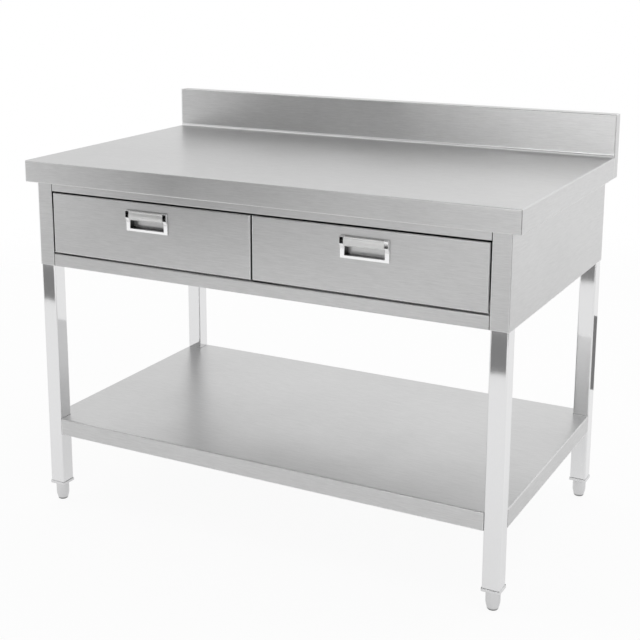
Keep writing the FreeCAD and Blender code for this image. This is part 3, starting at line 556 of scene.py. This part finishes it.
def ball_tree():
    """Adds two rows of balls, above and below the middle, and the cage strips between them."""
    sizes = {"Middle": "Vector", "Rows apart": "Float", "Length": "Float"}
    sizes |= {"Balls": "Int", "Ball": "Float", "Cage": "Vector"}
    tree, given = sized_tree("slide_balls", sizes)

    def on_seats(seats, piece):
        """Copies a piece to seats that are stood upright, one row over the other."""
        stood = {"Geometry": seats, "Translation": given["Middle"], "Rotation": (0, math.pi / 2, 0)}
        points = node(tree, "GeometryNodeTransform", stood)
        return node(tree, "GeometryNodeInstanceOnPoints", {"Points": points, "Instance": piece})

    apart = {"Vertices X": 2, "Size X": given["Rows apart"]}
    row_seats = {**apart, "Vertices Y": given["Balls"], "Size Y": given["Length"]}
    ball = node(tree, "GeometryNodeMeshIcoSphere", {"Subdivisions": 2, "Radius": given["Ball"]})
    balls = on_seats(node(tree, "GeometryNodeMeshGrid", row_seats), ball)
    # A grid without length has its seats in pairs, which become one each.
    pairs = node(tree, "GeometryNodeMeshGrid", {**apart, "Vertices Y": 2, "Size Y": 0})
    strip = node(tree, "GeometryNodeMeshCube", {"Size": given["Cage"]})
    strips = on_seats(node(tree, "GeometryNodeMergeByDistance", {"Geometry": pairs}), strip)
    join = node(tree, "GeometryNodeJoinGeometry", {0: [given["Piece"], balls, strips]})
    return finished(tree, join, given["Finish"])


zinc = polished_steel(
    "zinc_plated_slide",
    light=(0.68, 0.7, 0.73),
    dark=(0.52, 0.54, 0.58),
    smooth=0.29,
    rough=0.38,
    wave=0.01,
    stretch=0.3,
    depth=0.00002,
    radius=0.0006,
)
balls = ball_tree()
# The middle member's section: how far each corner lies from its back and above its axis.
slide_axis, bend, wall, half, reach, cut = 0.6965, 0.0014, 0.0012, 0.0177, 0.009, 0.0004
outside = [(reach, half), (bend, half), (cut, half - cut), (0, half - bend)]
inside = [(wall, half - wall - cut), (wall + cut, half - wall), (reach, half - wall)]
below = [(depth, -height) for part in (outside, inside) for depth, height in reversed(part)]
section = outside + below + inside
ball_rows = ({"deep": 0.003, "apart": 0.0389}, {"deep": 0.0066, "apart": 0.0295})
row_margin, cage_margin, cage_width, cage_thick = 0.03, 0.012, 0.0026, 0.0009
for side, turn in (("left", -1), ("right", 1)):
    for place in ("outside", "inside"):
        dress(zinc, *[f"drawer_{side}_slide_{member}_{place}" for member in ("outer", "inner")])
        member = f"drawer_{side}_slide_middle_{place}"
        low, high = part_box(member)
        # The back is towards the fixed side: outwards, or the divider for the inside slide.
        out = turn if place == "outside" else -turn
        back = high[0] if out > 0 else low[0]
        placed = [(back - out * depth, slide_axis + height) for depth, height in section]
        strip = rolled_strip(f"{member}_with_balls", placed, low[1], high[1])
        length = high[1] - low[1]
        for row in ball_rows:
            row_sizes = {
                "Middle": (back - out * row["deep"], (low[1] + high[1]) / 2, slide_axis),
                "Rows apart": row["apart"],
                "Length": length - row_margin,
                "Balls": 40,
                "Ball": 0.0017,
                "Cage": (cage_width, length - cage_margin, cage_thick),
                "Finish": zinc,
            }
            grown(strip, balls, row_sizes)
        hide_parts(member)
        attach(strip, f"slide_middle_{side}")


# Recessed handles: a chromed zinc casting let into the drawer front and screwed from behind, and
# a satin pressed grip that hangs on a pin between its two ears.
def dull_plating_and_recess_shade(material, face, back, side_shade_grey):
    """Makes a casting duller behind its front face, with painted shade darkest on the cup's sides and in
    its corners.
    """
    tree = material.node_tree
    sheen = tree.nodes["Principled BSDF"].inputs["Roughness"]
    fade, ahead, aside, satin = 0.002, 0.8, 0.3, 0.3
    normal = node(tree, "ShaderNodeTexCoord").outputs["Normal"]
    facing = node(tree, "ShaderNodeSeparateXYZ", {0: normal}).outputs["Y"]
    deep = ramp(tree, shaded_point(tree)["Y"], face, face + fade)
    turned_shade_share = ramp(tree, reckoned(tree, "ABSOLUTE", facing), ahead, aside)
    corner_shade = shared(tree, "seam_shade", {"Gap": 0.007})["Seam"]
    # Painted shade: the cup's sides near black, and darker still in its corners, over the duller
    # plating.
    lay_over(material, tinted(tree, tinted(tree, back, side_shade_grey, turned_shade_share), side_shade_grey, corner_shade), deep)
    wire(tree, (mixed(tree, sheen.links[0].from_socket, satin, deep), sheen))


chrome = polished_steel(
    "chromed_casting",
    light=(0.9, 0.9, 0.9),
    dark=(0.86, 0.86, 0.87),
    smooth=0.02,
    rough=0.05,
    wave=0.02,
    stretch=1,
    depth=0.00001,
    radius=0.0009,
)
flange = 0.006
cup_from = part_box("handle_left_housing")[0][1] + flange
# Duller satin plating in the cup, with painted shade on its sides and corners.
dull_plating_and_recess_shade(chrome, cup_from, back=(0.66, 0.66, 0.66), side_shade_grey=(0.05, 0.05, 0.05))
grip_steel = brushed_steel(
    "satin_grip",
    light=(0.72, 0.72, 0.71),
    dark=(0.65, 0.65, 0.65),
    smooth=0.36,
    rough=0.44,
    depth=0.00001,
    radius=0.0014,
    width=0.0004,
    length=0.01,
)
for side in ("left", "right"):
    dress(chrome, f"handle_{side}_housing", f"handle_{side}_pin")
    dress(screw_steel, f"handle_{side}_screws")
    dress(grip_steel, f"handle_{side}_grip")


# Studio: white paper under and behind the table, in an even bright surround. Only the metal sees
# the cards: two on the floor, dark ones and thin veils beside the camera and behind it, a bright
# soft box, and one card behind the table.
def stage_sheet(name, points, material):
    """A flat stage piece through the given corners."""
    mesh = bpy.data.meshes.new(name)
    mesh.from_pydata(points, [], [range(len(points))])
    mesh.materials.append(material)
    sheet = bpy.data.objects.new(name, mesh)
    bpy.context.scene.collection.objects.link(sheet)
    return sheet


def plain_material(name):
    """An empty material, with its node tree and the socket that its surface goes to."""
    material = bpy.data.materials.new(name)
    material.use_nodes = True
    tree = material.node_tree
    tree.nodes.remove(tree.nodes["Principled BSDF"])
    return material, tree, tree.nodes["Material Output"].inputs["Surface"]


def level(z, left, right, front, back):
    """The corners of a stage piece that lies flat."""
    return [(left, front, z), (right, front, z), (right, back, z), (left, back, z)]


def upright(y, left, right, low, high):
    """The corners of a stage piece that stands across the depth."""
    return [(left, y, low), (right, y, low), (right, y, high), (left, y, high)]


def white_paper(reach, front, fade):
    """Paper white to the camera and in the metal, with the table's soft shadow on it."""
    material, tree, surface = plain_material("white_paper")
    in_camera, in_metal = 0.93, 0.6
    rays = node(tree, "ShaderNodeLightPath").outputs
    seen = reckoned(tree, "MAXIMUM", rays["Is Glossy Ray"], rays["Is Transmission Ray"])
    glow = reckoned(tree, "MULTIPLY", seen, in_metal)
    part = reckoned(tree, "MULTIPLY_ADD", rays["Is Camera Ray"], in_camera, glow)
    plain = node(tree, "ShaderNodeBsdfDiffuse", {"Color": (0.9, 0.9, 0.9, 1)})
    lit = node(tree, "ShaderNodeMixShader", {0: part, 1: plain, 2: node(tree, "ShaderNodeEmission")})
    place = node(tree, "ShaderNodeTexCoord").outputs["Object"]
    reached = node(tree, "ShaderNodeVectorMath", {0: place}, operation="LENGTH").outputs["Value"]
    rim = ramp(tree, reached, reach - fade, reach, kind="SMOOTHSTEP")
    clear = node(tree, "ShaderNodeBsdfTransparent")
    wire(tree, (node(tree, "ShaderNodeMixShader", {0: rim, 1: lit, 2: clear}), surface))
    stage_sheet("paper", level(-0.0005, -reach, reach, front, reach), material)


def card(name, grey, points):
    """A plain stage piece that only the metal sees, and that lights and shades nothing else."""
    material, tree, surface = plain_material(name)
    material.cycles.emission_sampling = "NONE"
    wire(tree, (node(tree, "ShaderNodeEmission", {"Strength": grey}), surface))
    sheet = stage_sheet(name, points, material)
    sheet.visible_camera = sheet.visible_diffuse = sheet.visible_shadow = False


def surround(dim_places):
    """An even bright surround, dimmer round a few directions: way, inner and outer angle, strength."""
    world = bpy.data.worlds.new("studio")
    bpy.context.scene.world = world
    world.use_nodes = True
    tree = world.node_tree
    way = node(tree, "ShaderNodeTexCoord").outputs["Generated"]
    strength = 1.0
    for dim_way, inner, outer, gloom in dim_places:
        towards = {0: way, 1: Vector(dim_way).normalized()}
        near = node(tree, "ShaderNodeVectorMath", towards, operation="DOT_PRODUCT").outputs["Value"]
        start, end = (math.cos(math.radians(angle)) for angle in (outer, inner))
        fall = ramp(tree, near, start, end, 1.0, gloom, kind="SMOOTHSTEP")
        strength = reckoned(tree, "MULTIPLY", strength, fall)
    in_camera = node(tree, "ShaderNodeLightPath").outputs["Is Camera Ray"]
    background = tree.nodes["Background"].inputs
    wire(
        tree,
        ((1, 1, 1, 1), background["Color"]),
        (reckoned(tree, "MAXIMUM", strength, in_camera), background["Strength"]),
    )


paper_front = -1.75
white_paper(reach=3.4, front=paper_front, fade=1.0)
floor_front, floor_depth = -2.23, -0.002
beside_camera, behind_camera, behind_table = -2.75, -8.0, 1.0
for name, grey, points in (
    ("left_floor_card", 0.24, level(floor_depth, -2.35, -1.62, floor_front, paper_front)),
    ("right_floor_card", 0.24, level(floor_depth, -0.2, 0.25, floor_front, paper_front)),
    ("left_low_card", 0.0, upright(beside_camera, -2.14, -1.79, 0.09, 0.17)),
    ("middle_low_card", 0.0, upright(beside_camera, -1.03, -0.91, 0.09, 0.17)),
    ("right_low_card", 0.0, upright(beside_camera, -0.81, -0.67, 0.09, 0.122)),
    ("skirt_card", 0.0, upright(beside_camera, -2.1, -1.3, 0.14, 0.44)),
    ("skirt_veil", 0.1, upright(beside_camera, -1.3, -0.6, 0.16, 0.48)),
    ("right_veil", 0.3, upright(beside_camera, -0.6, 0.6, 0.17, 0.48)),
    ("tall_card", 0.02, upright(beside_camera, -2.22, -1.05, 0.45, 1.6)),
    ("side_card", 0.02, [(1.6, -2.6, 0.0), (2.4, -0.6, 0.0), (2.4, -0.6, 1.8), (1.6, -2.6, 1.8)]),
    ("soft_box", 4.2, upright(behind_camera, -2.5, 0.8, 0.8, 2.5)),
    ("high_card", 0.0, upright(behind_camera, -3.2, 0.6, 2.55, 6.0)),
    ("rear_card", 0.2, upright(behind_table, 0.73, 0.81, 0.03, 0.26)),
):
    card(name, grey, points)
surround([((-0.2, -0.74, 0.64), 24, 28, 0.08), ((-0.75, 0.66, 0.12), 5, 26, 0.86)])


# Camera: where the photograph was taken from, to the right of the table and above its top. Its
# picture is shifted a little, as fitted to the photograph.
def place_camera(spot, yaw, pitch, roll, focal, picture, shift):
    """A camera given in metres, radians and pixels of a square picture."""
    data = bpy.data.cameras.new("camera")
    camera = bpy.data.objects.new("camera", data)
    bpy.context.scene.collection.objects.link(camera)
    data.sensor_width = 36
    data.lens = focal / picture * data.sensor_width
    data.shift_x, data.shift_y = shift
    ahead = Vector((-math.sin(yaw) * math.cos(pitch), math.cos(yaw) * math.cos(pitch), math.sin(pitch)))
    level_right = Vector((math.cos(yaw), math.sin(yaw), 0))
    level_up = level_right.cross(ahead)
    right = level_right * math.cos(roll) + level_up * math.sin(roll)
    up = level_up * math.cos(roll) - level_right * math.sin(roll)
    camera.matrix_world = Matrix.Translation(spot) @ Matrix((right, up, -ahead)).transposed().to_4x4()
    bpy.context.scene.camera = camera


place_camera(
    spot=Vector((1.32156, -2.596237, 1.334212)),
    yaw=0.514,
    pitch=-0.217,
    roll=-0.005,
    focal=1260.065,
    picture=640,
    shift=(0.08, -0.15),
)
bpy.context.scene.view_settings.view_transform = "Standard"
